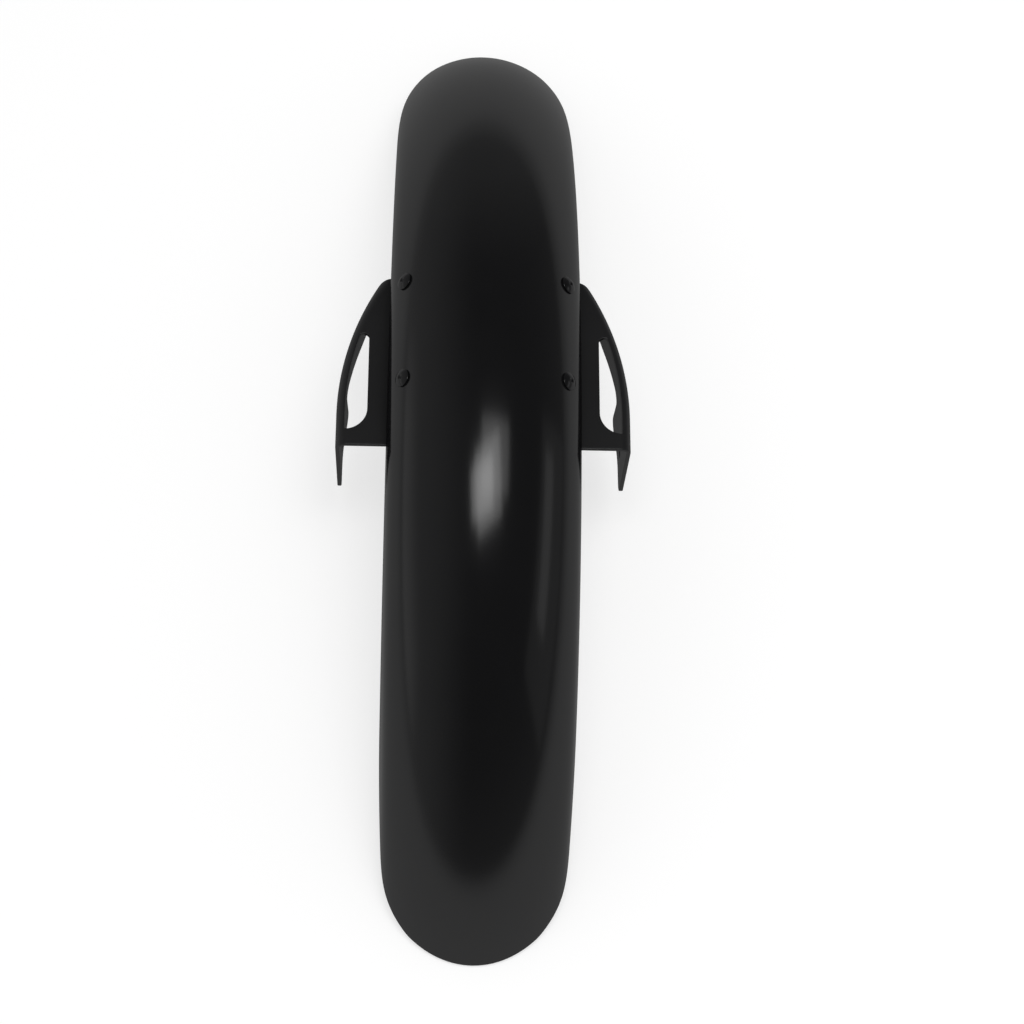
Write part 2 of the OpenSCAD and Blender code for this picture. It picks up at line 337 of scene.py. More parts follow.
def lower_edge(angle, p):
    """Radius about the axle at which the side view trims the sheet.

    It is the outermost of the edge circle, the straight front cut and the rear curve.
    """
    edge, ahead, tip_r = p.crown_radius - p.skirt, p.edge_ahead, p.crown_radius - 2 * p.sheet
    tip = tip_r * np.array([math.sin(p.half_arc), math.cos(p.half_arc)])
    dx, dz = np.sin(angle), np.cos(angle)
    radius = ahead * dx + np.sqrt(edge ** 2 - (ahead * dz) ** 2)

    # straight front cut, a tangent of the edge circle
    q = tip - [ahead, 0]
    bearing = math.atan2(q[1], q[0]) + math.acos(edge / np.hypot(*q))
    n = np.array([math.cos(bearing), math.sin(bearing)])
    straight = (edge + ahead * n[0]) / (dx * n[0] + dz * n[1])
    beyond = ((straight * dx - ahead) * n[1] - straight * dz * n[0] > 0) & (angle > 0)
    radius = np.where(beyond, straight, radius)

    # rear curve, a circle that touches the edge circle from outside
    q = tip * [-1, 1] - [ahead, 0]
    reach = edge + p.rear_curve
    share = (q @ q + reach ** 2 - p.rear_curve ** 2) / (2 * np.hypot(*q) * reach)
    bearing = math.atan2(q[1], q[0]) - math.acos(share)
    n = np.array([math.cos(bearing), math.sin(bearing)])
    centre = np.array([ahead, 0]) + reach * n
    along = dx * centre[0] + dz * centre[1]
    curve = along - np.sqrt(np.clip(along ** 2 - centre @ centre + p.rear_curve ** 2, 0, None))
    beyond = ((radius * dx - ahead) * -n[1] + radius * dz * n[0] > 0) & (angle < 0)
    return np.minimum(np.where(beyond, curve, radius), p.crown_radius)


def rim_line(p, table, count):
    """Right half of the rim as angles about the axle and girths, from front tip to rear tip.

    The rim is where the section meets the lower edge or, if that comes first, the tip's circle,
    and the points are spaced evenly along it.
    """
    girth, _slope, side, depth = table
    u = np.linspace(0, 1, RIM_ROWS)
    angle = p.half_arc * np.cos(math.pi * u)
    s_side = np.interp(p.crown_radius - lower_edge(angle, p), depth, girth)
    s_tip = np.full_like(angle, UNTRIMMED)
    for sign, tip_radius in ((1, p.front_tip), (-1, p.rear_tip)):
        a = sign * angle - p.half_arc
        low, high = np.zeros_like(angle), np.full_like(angle, TIP_GIRTH)
        for _ in range(TIP_HALVINGS):
            mid = (low + high) / 2
            r = p.crown_radius - np.interp(mid, girth, depth)
            y = np.interp(mid, girth, side)
            out = (r * np.sin(a) + tip_radius) ** 2 + y ** 2 > tip_radius ** 2
            high = np.where(out, mid, high)
            low = np.where(out, low, mid)
        near = (p.crown_radius * np.sin(a) > -TIP_ZONE) & (sign * angle > 0)
        s_tip = np.where(near, np.minimum(s_tip, (low + high) / 2), s_tip)
    s = np.minimum(s_side, s_tip)
    s[[0, -1]] = 0
    r = p.crown_radius - np.interp(s, girth, depth)
    y = np.interp(s, girth, side)
    place = np.stack([r * np.sin(angle), y, r * np.cos(angle)], -1)
    steps = np.linalg.norm(np.diff(place, axis=0), axis=1)
    length = np.concatenate([[0], np.cumsum(steps)])
    even = np.linspace(0, length[-1], count)
    return np.interp(even, length, angle), np.interp(even, length, s)


def shell_points(p):
    """Grid of points on the shell, one closed loop per station.

    A point is given by its angle about the axle, its girth from the crown line and its depth
    under the outer face: the radius is the crown radius less the section's depth and the depth
    under the face along the section's normal. The loop runs over the outer face from the right
    hem to the left, round the folded edge in a half circle, back over the inner layer of the
    hem, up its cut edge and across the inner face.
    """
    table = section_table(p)
    girth, slope, side, depth = table
    angle, s = rim_line(p, table, p.stations)

    # inward normal of the rim on the face, from the rim's own direction
    r = p.crown_radius - np.interp(s, girth, depth)
    du = np.gradient(angle) * r
    ds = np.gradient(s)
    ds[0], ds[-1] = POLE_STEP, -POLE_STEP
    du[0] = du[-1] = 0
    norm = np.hypot(du, ds)
    inward = np.stack([-ds / norm, du / norm], -1)

    def strip(reach, under):
        """Points at given reaches from the rim and depths under the face, on the right half."""
        a = angle[:, None] + inward[:, :1] * reach / r[:, None]
        g = s[:, None] + inward[:, 1:] * reach
        return a, np.clip(g, 0, None), np.broadcast_to(under, a.shape)

    t, hem = p.sheet, p.hem
    lay = np.linspace(hem, t, HEM_LINES)
    roll = np.linspace(0, math.pi, FOLD_LINES)[1:-1]
    fold = strip(t - t * np.sin(roll), t - t * np.cos(roll))
    outer = strip(lay, 0.0)
    inner = strip(lay[::-1], 2 * t)
    cut = np.linspace(0, math.pi / 2, LIP_LINES)
    lip_r = LIP_ROUND * t
    lip = strip(hem + lip_r * np.sin(cut), 2 * t - lip_r * (1 - np.cos(cut)))
    foot = strip(np.array([hem + lip_r, hem + FOOT_REACH * t]), np.array([FOOT_TOP * t, t]))
    right = [np.concatenate(x, 1) for x in zip(outer, fold, inner, lip, foot)]

    v = np.linspace(1, -1, FACE_LINES)[1:-1]
    shape = (len(s), len(v))
    a0, g0 = right[0][:, :1], right[1][:, :1]
    a1, g1 = right[0][:, -1:], right[1][:, -1:]
    face = (np.broadcast_to(a0, shape), g0 * v, np.zeros(shape))
    back = (np.broadcast_to(a1, shape), g1 * v, np.full(shape, t))
    left = [right[0], -right[1], right[2]]
    a, g, under = (np.concatenate([f, m, b[:, ::-1], n[:, ::-1]], 1)
                   for f, m, b, n in zip(face, left, back, right))
    b = np.interp(abs(g), girth, slope)
    y = np.sign(g) * (np.interp(abs(g), girth, side) - under * np.sin(b))
    radius = p.crown_radius - np.interp(abs(g), girth, depth) - under * np.cos(b)
    return np.stack([radius * np.sin(a), y, radius * np.cos(a) - tip_height(p)], -1)


class GUARD_OT_shell(Operator):
    """Builds the pressed shell with its folded hem"""
    bl_idname = "guard.shell"
    bl_label = "Shell"

    def execute(self, context):
        points = shell_points(context.scene.mudguard_shell)
        faces = loop_faces(*points.shape[:2])
        mesh = closed_mesh("guard_shell", points.reshape(-1, 3).tolist(), faces.tolist(),
                           SHELL_WELD)
        add_piece("guard_shell", mesh, shell_paint(), "shell")
        return {"FINISHED"}


def round_corner(p, q, s, radius, steps=CORNER_STEPS):
    """Arc that rounds the corner q between its neighbours p and s.

    Its centre lies on the corner's bisector, the radius over the sine of the half angle away.
    """
    p, q, s = (np.array(v, float) for v in (p, q, s))
    u, v = (p - q) / np.linalg.norm(p - q), (s - q) / np.linalg.norm(s - q)
    w = (u + v) / np.linalg.norm(u + v)
    half = math.acos(np.clip(u @ v, -1, 1)) / 2
    centre = q + w * radius / math.sin(half)
    start = math.atan2(-w[1], -w[0])
    turn = 1 if u[0] * v[1] - u[1] * v[0] > 0 else -1
    a = start + turn * (math.pi / 2 - half) * np.linspace(1, -1, steps)
    return centre + radius * np.stack([np.cos(a), np.sin(a)], -1)


def round_outline(corners):
    """Closed outline whose corners, two coordinates and a radius each, are rounded."""
    before, after = corners[-1:] + corners[:-1], corners[1:] + corners[:1]
    return np.concatenate([round_corner(p[:2], q[:2], s[:2], q[2])
                           for p, q, s in zip(before, corners, after)])


def outline_distance(x, y, outline):
    """Distance of points to a closed outline, below zero inside it.

    A point is inside when a level line from it crosses the outline an odd number of times.
    """
    near = np.full(x.shape, 1e9)
    inside = np.zeros(x.shape, bool)
    for (ax, ay), (bx, by) in zip(outline, np.roll(outline, -1, 0)):
        ex, ey = bx - ax, by - ay
        long = ex * ex + ey * ey
        if long < 1e-18:
            continue
        k = np.clip(((x - ax) * ex + (y - ay) * ey) / long, 0, 1)
        near = np.minimum(near, (x - ax - k * ex) ** 2 + (y - ay - k * ey) ** 2)
        crosses = (ay > y) != (by > y)
        inside ^= crosses & (x < ax + (y - ay) * ex / (ey if ey else 1e-12))
    return np.where(inside, -1, 1) * np.sqrt(near)


def soft_max(a, b, width):
    """Larger of two distances, with the corner between them rounded over a width."""
    h = np.clip(0.5 + 0.5 * (a - b) / width, 0, 1)
    return a * h + b * (1 - h) + width * h * (1 - h)


class StaySheet:
    """Outer face of a bracket as one sheet with its bends.

    The first parameter is the place along the fold and the second the girth from the fold line,
    up over the seat flange and out over the shelf, the rolled rim and the plate. The flange is
    a circle section swept about the axle, both folds are quarter turns, the shelf is ruled
    between the fold and the rim, and the rim and plate follow the outer line, straight and then
    one arc.
    """

    def __init__(self, p, shell, rivets):
        self.p, self.shell, self.rivets = p, shell, rivets
        crown = crown_section_radius(shell)
        self.crown_c = shell.crown_radius - crown
        self.seat = crown - shell.sheet - rivets.gap
        self.fold_a = shell.turn + FOLD_EXTRA
        self.fold_y = (self.seat - p.fold_radius) * math.sin(self.fold_a) + p.fold_radius
        self.fold_r = self.crown_c + (self.seat - p.fold_radius) * math.cos(self.fold_a)
        self.shelf_z = shell.crown_radius - p.shelf_drop
        self.bend_o = p.bend_radius + p.sheet
        self.plate_y = p.plate_span / 2
        self.turn_c = (p.turn_start, self.plate_y - p.turn_radius)
        # girths at which one stretch hands over to the next
        self.g_fold = math.pi / 2 * p.bend_radius
        self.g_rim = self.g_fold + self.plate_y - self.bend_o - self.fold_y - p.bend_radius
        self.g_plate = self.g_rim + math.pi / 2 * self.bend_o
        self.g_flat = -(self.fold_r - self.shelf_z - p.bend_radius)
        self.g_knee = self.g_flat - (math.pi / 2 - self.fold_a) * p.fold_radius
        self.g_top = self.g_knee - (self.fold_a - p.flange_slope) * self.seat
        self.outlines()

    def outlines(self):
        """Outlines that trim the sheet from the side and from above, and that of the window."""
        p, z = self.p, self.shelf_z
        self.side_outline = round_outline([(a, z + d, r) for a, d, r in SIDE_OUTLINE])
        x, y = p.front_reach, self.plate_y
        start = (x - BOW_LENGTH, y + BOW_START)
        bow = round_corner(start, (x, y - BOW_END), (x, 0), BOW_CORNER, BOW_STEPS)
        frame_side = [(-FAR_BACK, -FAR_IN), (-FAR_BACK, y + FAR_OUT), start]
        self.plan_outline = np.concatenate([frame_side, bow, [(x, -FAR_IN)]])
        w = self.fold_y + p.bend_radius
        w += p.web_part * (self.plate_y - self.fold_y - p.bend_radius)
        rear, front = WINDOW_REAR, WINDOW_FRONT
        nose = (front + NOSE_AHEAD, w + NOSE_OUT)
        self.window_outline = np.concatenate([
            round_corner((0, w), (rear, w), (rear, y), p.window_radius, REAR_STEPS),
            [(rear, y), (front + MOUTH_AHEAD, y)],
            round_corner((front - MOUTH_BACK, y), nose, (front, w), NOSE_RADIUS, FRONT_STEPS),
            round_corner(nose, (front, w), (0, w), FRONT_RADIUS, FRONT_STEPS)])

    def place(self, u, g):
        """Points and outward normals of the outer face, before the turn about the axle."""
        p = self.p
        swing = np.arcsin(u / self.fold_r)
        # seat flange and its fold towards the skirt
        on_seat = g < self.g_knee
        slope = np.where(on_seat, self.fold_a + (g - self.g_knee) / self.seat,
                         math.pi / 2 + (g - self.g_flat) / p.fold_radius)
        slope = np.minimum(slope, math.pi / 2)
        radius = np.where(on_seat, self.crown_c + self.seat * np.cos(slope),
                          self.fold_r + p.fold_radius * np.cos(slope))
        wide = np.where(on_seat, self.seat * np.sin(slope),
                        self.fold_y - p.fold_radius + p.fold_radius * np.sin(slope))
        flange = np.stack([radius * np.sin(swing), wide, radius * np.cos(swing)], -1)
        flange_n = np.stack([np.sin(swing) * np.cos(slope), np.sin(slope),
                             np.cos(swing) * np.cos(slope)], -1)
        # flat between the two folds
        k = np.clip(g / self.g_flat, 0, 1)
        low = self.shelf_z + p.bend_radius
        high = self.fold_r * np.cos(swing)
        flat = np.stack([u, 0 * u + self.fold_y, low + k * (high - low)], -1)
        # fold towards the shelf
        t = np.clip(g / p.bend_radius, 0, math.pi / 2)
        fold = np.stack([u, self.fold_y + p.bend_radius * (1 - np.cos(t)),
                         low - p.bend_radius * np.sin(t)], -1)
        fold_n = np.stack([0 * u, np.cos(t), np.sin(t)], -1)
        # outer line: bearing of the arc and the direction out of it
        bearing = np.arcsin(np.clip((u - p.turn_start) / p.turn_radius, 0, 1))
        out = np.stack([np.sin(bearing), np.cos(bearing)], -1)
        root = np.stack([np.minimum(u, p.turn_start), 0 * u + self.turn_c[1]], -1)
        b = np.clip((g - self.g_rim) / self.bend_o, 0, math.pi / 2)
        reach = p.turn_radius - self.bend_o + self.bend_o * np.sin(b)
        drop = (self.shelf_z - self.bend_o + self.bend_o * np.cos(b)
                - np.clip(g - self.g_plate, 0, None))
        rim = np.concatenate([root + out * reach[..., None], drop[..., None]], -1)
        rim_n = np.concatenate([out * np.sin(b)[..., None], np.cos(b)[..., None]], -1)
        # shelf, ruled between the fold and the rim
        w = np.clip((g - self.g_fold) / (self.g_rim - self.g_fold), 0, 1)[..., None]
        inner = np.stack([u, 0 * u + self.fold_y + p.bend_radius], -1)
        edge = root + out * (p.turn_radius - self.bend_o)
        level = (0 * u + self.shelf_z)[..., None]
        shelf = np.concatenate([inner * (1 - w) + edge * w, level], -1)
        aside, up = np.array([0.0, 1.0, 0.0]), np.array([0.0, 0.0, 1.0])
        g3 = g[..., None]
        cases = [g3 < self.g_flat, g3 < 0, g3 < self.g_fold, g3 < self.g_rim]
        return (np.select(cases, [flange, flat, fold, shelf], rim),
                np.select(cases, [flange_n, aside, fold_n, up], rim_n))

    def turned(self, points):
        """The bracket's points turned about the axle to their place, axle at the origin."""
        a = self.p.middle
        x, y, z = points[..., 0], points[..., 1], points[..., 2]
        return np.stack([x * math.cos(a) + z * math.sin(a), y,
                         z * math.cos(a) - x * math.sin(a)], -1)

    def trim(self, u, g):
        """Distance to the sheet's cut edges, below zero on the sheet.

        It is the largest of the distances to the side and plan outlines, the flange's ends and,
        with their sign turned, the window, the bolt holes and the rivet holes.
        """
        p = self.p
        here, _normal = self.place(u, g)
        part = self.turned(here)
        x, y = here[..., 0], here[..., 1]
        f = outline_distance(part[..., 0], part[..., 2], self.side_outline)
        f = np.maximum(f, outline_distance(x, y, self.plan_outline))
        f = np.maximum(f, self.g_top - g)
        ease = np.clip(g / self.g_fold, 0, 1)
        front = p.flange_reach + (p.front_reach - p.flange_reach) * ease * ease * (3 - 2 * ease)
        f = np.maximum(f, x - front)
        # rounded upper front corner of the flange
        r = p.flange_corner
        cx, cg = p.flange_reach - r, self.g_top + r
        round_off = np.hypot(x - cx, g - cg) - r
        f = np.where((x > cx) & (g < cg), np.maximum(f, round_off), f)
        # window
        outer = np.where(x > p.turn_start,
                         np.hypot(x - self.turn_c[0], y - self.turn_c[1]) - p.turn_radius,
                         y - self.plate_y) + p.rim_strip
        window = soft_max(outline_distance(x, y, self.window_outline), outer, WINDOW_BLEND)
        f = np.where((g > 0) & (g < self.g_plate), np.maximum(f, -window), f)
        # bolt holes in the plate
        for k in (0, 1):
            height = self.shelf_z - p.hole_drop + k * p.hole_pitch
            hole = np.hypot(part[..., 0], part[..., 2] - height) - p.hole_radius
            f = np.where(g > self.g_plate, np.maximum(f, -hole), f)
        # rivet holes in the flange
        tilt = self.rivets.slope
        for k in (-0.5, 0.5):
            a = k * self.rivets.spread
            axis = np.array([math.sin(a) * math.cos(tilt), math.sin(tilt),
                             math.cos(a) * math.cos(tilt)])
            root = here - np.array([self.crown_c * math.sin(a), 0, self.crown_c * math.cos(a)])
            off = np.linalg.norm(root - (root @ axis)[..., None] * axis, axis=-1)
            hole = off - self.rivets.shank_radius - RIVET_PLAY
            f = np.where(g < 0, np.maximum(f, -hole), f)
        return f

    def lead(self, u, g):
        """Slope of the trim distance along the sheet, from small steps both ways.

        Returns the steps of the parameters that change it by one, and their way in space.
        """
        h = SLOPE_STEP
        f_u = (self.trim(u + h, g) - self.trim(u - h, g)) / (2 * h)
        f_g = (self.trim(u, g + h) - self.trim(u, g - h)) / (2 * h)
        p_u = (self.place(u + h, g)[0] - self.place(u - h, g)[0]) / (2 * h)
        p_g = (self.place(u, g + h)[0] - self.place(u, g - h)[0]) / (2 * h)
        a, b, c = (p_u * p_u).sum(-1), (p_u * p_g).sum(-1), (p_g * p_g).sum(-1)
        det = a * c - b * b
        du, dg = (c * f_u - b * f_g) / det, (a * f_g - b * f_u) / det
        way = p_u * du[..., None] + p_g * dg[..., None]
        steep = (way * way).sum(-1)
        return du / steep, dg / steep, way / np.sqrt(steep)[..., None]


def stay_grid(sheet, inset):
    """Grid over the sheet with the distance of its corners to the edge, less the edge's inset.

    Rows of corners lie on the lines where one stretch hands over to the next, and a corner
    close to the edge is moved on to it.
    """
    cell = sheet.p.cell
    us = np.arange(GRID_REAR, GRID_FRONT, cell)
    stops = [sheet.g_top - 3 * cell, sheet.g_knee, sheet.g_flat, 0, sheet.g_fold, sheet.g_rim,
             sheet.g_plate, sheet.g_plate + PLATE_GIRTH]
    bends = (sheet.g_knee, 0, sheet.g_rim)
    gs = [np.array([stops[0]])]
    for a, b in zip(stops[:-1], stops[1:]):
        wide = cell * (BEND_CELL if a in bends else 1.0)
        gs.append(np.linspace(a, b, max(2, int(round((b - a) / wide)) + 1))[1:])
    u, g = np.meshgrid(us, np.concatenate(gs), indexing="ij")
    f = sheet.trim(u, g) + inset
    limit = SNAP_STEP * cell
    for _ in range(2):
        close = abs(f) < SNAP * cell
        du, dg, _way = sheet.lead(u[close], g[close])
        u[close] += np.clip(-f[close] * du, -limit, limit)
        g[close] += np.clip(-f[close] * dg, -limit, limit)
        f[close] = sheet.trim(u[close], g[close]) + inset
    f[abs(f) < ON_EDGE * cell] = 0
    return u, g, f


def cut_cells(u, g, f):
    """Cells of the grid where the distance is below zero, cut where it passes zero.

    Returns the points' parameters and the faces. Cells share the points of a cut.
    """
    points, index, cuts = [], {}, {}

    def corner_number(i, j):
        """Number of the point at a corner of the grid."""
        if (i, j) not in index:
            index[i, j] = len(points)
            points.append((u[i, j], g[i, j]))
        return index[i, j]

    def cut_number(a, b):
        """Number of the point where the edge cuts the line between two corners."""
        key = (min(a, b), max(a, b))
        if key not in cuts:
            k = f[a] / (f[a] - f[b])
            cuts[key] = len(points)
            points.append((u[a] + k * (u[b] - u[a]), g[a] + k * (g[b] - g[a])))
        return cuts[key]

    faces = []
    rows, columns = f.shape
    for i in range(rows - 1):
        for j in range(columns - 1):
            ring = [(i, j), (i + 1, j), (i + 1, j + 1), (i, j + 1)]
            if min(f[c] for c in ring) >= 0:
                continue
            face = []
            for c, nxt in zip(ring, ring[1:] + ring[:1]):
                if f[c] <= 0:
                    face.append(corner_number(*c))
                if f[c] * f[nxt] < 0:
                    face.append(cut_number(c, nxt))
            if len(face) > 2:
                faces.append(face)
    return np.array(points), faces


def border_lines(faces):
    """Lines that only one face has, in that face's direction."""
    once = {}
    for face in faces:
        for a, b in zip(face, face[1:] + face[:1]):
            if (b, a) in once:
                del once[b, a]
            else:
                once[a, b] = True
    return list(once)


def stay_mesh(sheet, mirrored):
    """Trims the sheet at its cut edges, gives it its thickness and rounds the edges.

    The inner face lies the thickness inside the outer one along the normals. The edge strip
    turns a quarter circle out of the outer face, runs down and turns into the inner face.
    """
    p = sheet.p
    inset = p.soften
    uv, faces = cut_cells(*stay_grid(sheet, inset))
    outer, normal = sheet.place(uv[:, 0], uv[:, 1])

    border = border_lines(faces)
    rim = np.array(sorted({v for line in border for v in line}))
    number = {v: k for k, v in enumerate(rim)}
    _du, _dg, way = sheet.lead(uv[rim, 0], uv[rim, 1])
    n = normal[rim]
    way -= (way * n).sum(-1)[:, None] * n
    way /= np.linalg.norm(way, axis=1)[:, None]
    quarter = np.linspace(0, math.pi / 2, EDGE_LINES)
    profile = [(inset * math.sin(t), inset * (1 - math.cos(t))) for t in quarter[1:]]
    profile += [(inset * math.cos(t), p.sheet - inset * (1 - math.sin(t)))
                for t in quarter[:-1]]
    rings = [outer[rim] + way * a - n * b for a, b in profile]

    count = len(outer)
    stack = np.concatenate([outer, outer - normal * p.sheet] + rings)
    all_faces = faces + [[v + count for v in reversed(face)] for face in faces]

    def ladder(v):
        """Numbers of the points from the outer face to the inner face at a point of the rim."""
        between = [2 * count + k * len(rim) + number[v] for k in range(len(rings))]
        return [v] + between + [v + count]

    for a, b in border:
        one, two = ladder(a), ladder(b)
        for k in range(len(one) - 1):
            all_faces.append([two[k], one[k], one[k + 1], two[k + 1]])
    stack = sheet.turned(stack)
    stack[:, 2] -= tip_height(sheet.shell)
    if mirrored:
        stack[:, 1] *= -1
    return closed_mesh("stay", stack.tolist(), all_faces, PIECE_WELD)


class GUARD_OT_brackets(Operator):
    """Builds the two pressed brackets with their flange, shelf, window, rolled rim and plate"""
    bl_idname = "guard.brackets"
    bl_label = "Brackets"

    def execute(self, context):
        scene = context.scene
        sheet = StaySheet(scene.mudguard_brackets, scene.mudguard_shell, scene.mudguard_rivets)
        for side, mirrored in (("left", False), ("right", True)):
            mesh = stay_mesh(sheet, mirrored)
            add_piece(side + "_stay", mesh, stay_coating(), side + "_bracket")
        return {"FINISHED"}


def lathe(profile, turns):
    """Sweeps each point of the profile, a radius and a height, in a full circle about Z."""
    a = np.arange(turns) * 2 * math.pi / turns
    r, z = profile[:, 0][:, None], profile[:, 1][:, None]
    return np.stack([r * np.cos(a), r * np.sin(a), z + 0 * a], -1)


def rivet_profile(p, sheet, plate):
    """Radius and height along a rivet, for the thicknesses of the two sheets that it holds.

    The line runs from the middle of the domed head over its rounded rim, down the shank and
    round the set tail. The dome is a circle, less a dimple whose depth falls off with the square
    of one less the squared share of its radius.
    """
    cap = p.head_height - DOME_FOOT
    ball = (p.head_radius ** 2 + cap ** 2) / (2 * cap)
    up = np.linspace(0, math.asin((p.head_radius - DOME_INSET) / ball), DOME_LINES)
    top = p.gap + p.head_height
    dome = np.stack([ball * np.sin(up), top - ball + ball * np.cos(up)], -1)
    share = dome[:, 0] / p.dimple_radius
    dome[:, 1] -= p.dimple_depth * np.clip(1 - share ** 2, 0, 1) ** 2
    a = np.linspace(math.pi / 3, -math.pi / 2, RIM_LINES)
    edge = np.stack([p.head_radius - RIM_ROUND + RIM_ROUND * np.cos(a),
                     p.gap + RIM_ROUND + RIM_ROUND * np.sin(a)], -1)
    grip = sheet + plate + 2 * p.gap
    shank = [(p.shank_radius, p.gap), (p.shank_radius, p.gap / 2), (p.shank_radius, -grip)]
    wide = p.shank_radius + TAIL_REACH
    tail = [(wide - inset, -grip - deep) for inset, deep in TAIL]
    return np.concatenate([dome, edge, shank, tail, [(0, -grip - TAIL[-1][1])]])


class GUARD_OT_rivets(Operator):
    """Builds the four rivets that clamp the brackets under the shell"""
    bl_idname = "guard.rivets"
    bl_label = "Rivets"

    def execute(self, context):
        scene = context.scene
        p, shell = scene.mudguard_rivets, scene.mudguard_shell
        one = lathe(rivet_profile(p, shell.sheet, scene.mudguard_brackets.sheet), RIVET_TURNS)
        spots = one.reshape(-1, 3)
        quads = loop_faces(*one.shape[:2])
        crown, base = crown_section_radius(shell), tip_height(shell)
        points, faces = [], []
        for side in (1, -1):
            for k in (-0.5, 0.5):
                place = np.array(Matrix.Translation((0, 0, -base))
                                 @ Matrix.Rotation(p.middle + k * p.spread, 4, "Y")
                                 @ Matrix.Translation((0, 0, shell.crown_radius - crown))
                                 @ Matrix.Rotation(-side * p.slope, 4, "X")
                                 @ Matrix.Translation((0, 0, crown)))
                faces.append(quads + len(points) * len(spots))
                points.append(spots @ place[:3, :3].T + place[:3, 3])
        mesh = closed_mesh("guard_rivets", np.concatenate(points).tolist(),
                           np.concatenate(faces).tolist(), PIECE_WELD)
        add_piece("guard_rivets", mesh, shell_paint(), "rivets")
        return {"FINISHED"}


def fill(node, values):
    """Sets the node's sockets to the values."""
    for socket, value in values.items():
        node.inputs[socket].default_value = value


def black_finish(name, colour, roughness, cloud, peel_size, peel_depth):
    """Dark base, slightly clouded, under a thin clear coat with a fine ripple."""
    found = bpy.data.materials.get(name)
    if found:
        return found
    material = bpy.data.materials.new(name)
    material.use_nodes = True
    nodes, links = material.node_tree.nodes, material.node_tree.links
    shader = nodes["Principled BSDF"]
    place = nodes.new("ShaderNodeTexCoord")

    def noise(scale, detail):
        """Noise fixed to the piece."""
        node = nodes.new("ShaderNodeTexNoise")
        fill(node, {"Scale": scale, "Detail": detail})
        links.new(place.outputs["Object"], node.inputs["Vector"])
        return node.outputs["Fac"]

    # sockets 6 and 7 of the mix are its two colours, and output 2 is the mixed colour
    tint = nodes.new("ShaderNodeMix")
    tint.data_type = "RGBA"
    fill(tint, {6: (*[(1 - cloud) * c for c in colour], 1),
                7: (*[(1 + cloud) * c for c in colour], 1)})
    links.new(noise(CLOUD_SCALE, CLOUD_DETAIL), tint.inputs[0])
    links.new(tint.outputs[2], shader.inputs["Base Color"])
    fill(shader, {"Roughness": BASE_ROUGHNESS, "Specular IOR Level": 0.0,
                  "Coat Weight": bpy.context.scene.mudguard_paint.coat,
                  "Coat IOR": COAT_IOR, "Coat Roughness": roughness})
    peel = nodes.new("ShaderNodeBump")
    fill(peel, {"Strength": peel_depth, "Distance": PEEL_HEIGHT})
    links.new(noise(peel_size, PEEL_DETAIL), peel.inputs["Height"])
    links.new(peel.outputs["Normal"], shader.inputs["Normal"])
    links.new(peel.outputs["Normal"], shader.inputs["Coat Normal"])
    return material


def shell_paint():
    """Satin black paint of the shell and the rivets."""
    look = bpy.context.scene.mudguard_paint
    return black_finish("satin_black_paint", look.colour, look.roughness,
                        cloud=0.12, peel_size=900.0, peel_depth=0.03)


def stay_coating():
    """Duller black coating of the brackets, with a fine grain."""
    look = bpy.context.scene.mudguard_paint
    return black_finish("dull_black_coating", look.stay_colour, look.stay_roughness,
                        cloud=0.15, peel_size=1400.0, peel_depth=0.08)


def axes_turn(right, up, back):
    """Turn that takes the X, Y and Z axes to the three directions."""
    return Matrix([[right[i], up[i], back[i]] for i in range(3)]).to_4x4()


def soft_box(name, power, wide, deep, place, facing, spin=0.0):
    """A flat rectangular lamp at a place that shines towards a point, spun about its axis."""
    data = bpy.data.lights.new(name, "AREA")
    data.energy = power
    data.shape = "RECTANGLE"
    data.size, data.size_y = wide, deep
    lamp = bpy.data.objects.new(name, data)
    bpy.context.scene.collection.objects.link(lamp)
    away = np.subtract(place, facing)
    away = away / np.linalg.norm(away)
    right = np.cross((0, 1, 0) if abs(away[1]) < 0.7 else (0, 0, 1), away)
    right /= np.linalg.norm(right)
    turn = axes_turn(right, np.cross(away, right), away)
    lamp.matrix_world = Matrix.Translation(place) @ turn @ Matrix.Rotation(spin, 4, "Z")


def join(tree, kind, a, b):
    """Math node that joins the socket a with b, which is a socket or a number."""
    node = tree.nodes.new("ShaderNodeMath")
    node.operation = kind
    tree.links.new(a, node.inputs[0])
    if isinstance(b, float):
        node.inputs[1].default_value = b
    else:
        tree.links.new(b, node.inputs[1])
    return node.outputs[0]


def smooth_step(tree, value, low, high, at_low, at_high):
    """Smooth step of a value from one level at its low end to another at its high end."""
    node = tree.nodes.new("ShaderNodeMapRange")
    node.interpolation_type = "SMOOTHSTEP"
    fill(node, {"From Min": low, "From Max": high, "To Min": at_low, "To Max": at_high})
    tree.links.new(value, node.inputs["Value"])
    return node.outputs["Result"]


def set_lamps(look):
    """Soft boxes overhead, brighter towards their middle, two windows and an even ceiling."""
    for name, share, x, y, high, wide, deep, spin in SOFT_BOXES:
        soft_box(name, look.box_power * share, wide, deep, (x, y, high), (x, y, 0), spin)
    for name, power, wide, deep, place in WINDOWS:
        soft_box(name, power, wide, deep, place, WINDOW_AIM)
    data = bpy.data.lights.new("ceiling", "SUN")
    data.energy = look.ceiling
    data.angle = CEILING_SPREAD
    ceiling = bpy.data.objects.new("ceiling", data)
    bpy.context.scene.collection.objects.link(ceiling)
    ceiling.visible_glossy = False
    ceiling.visible_camera = False


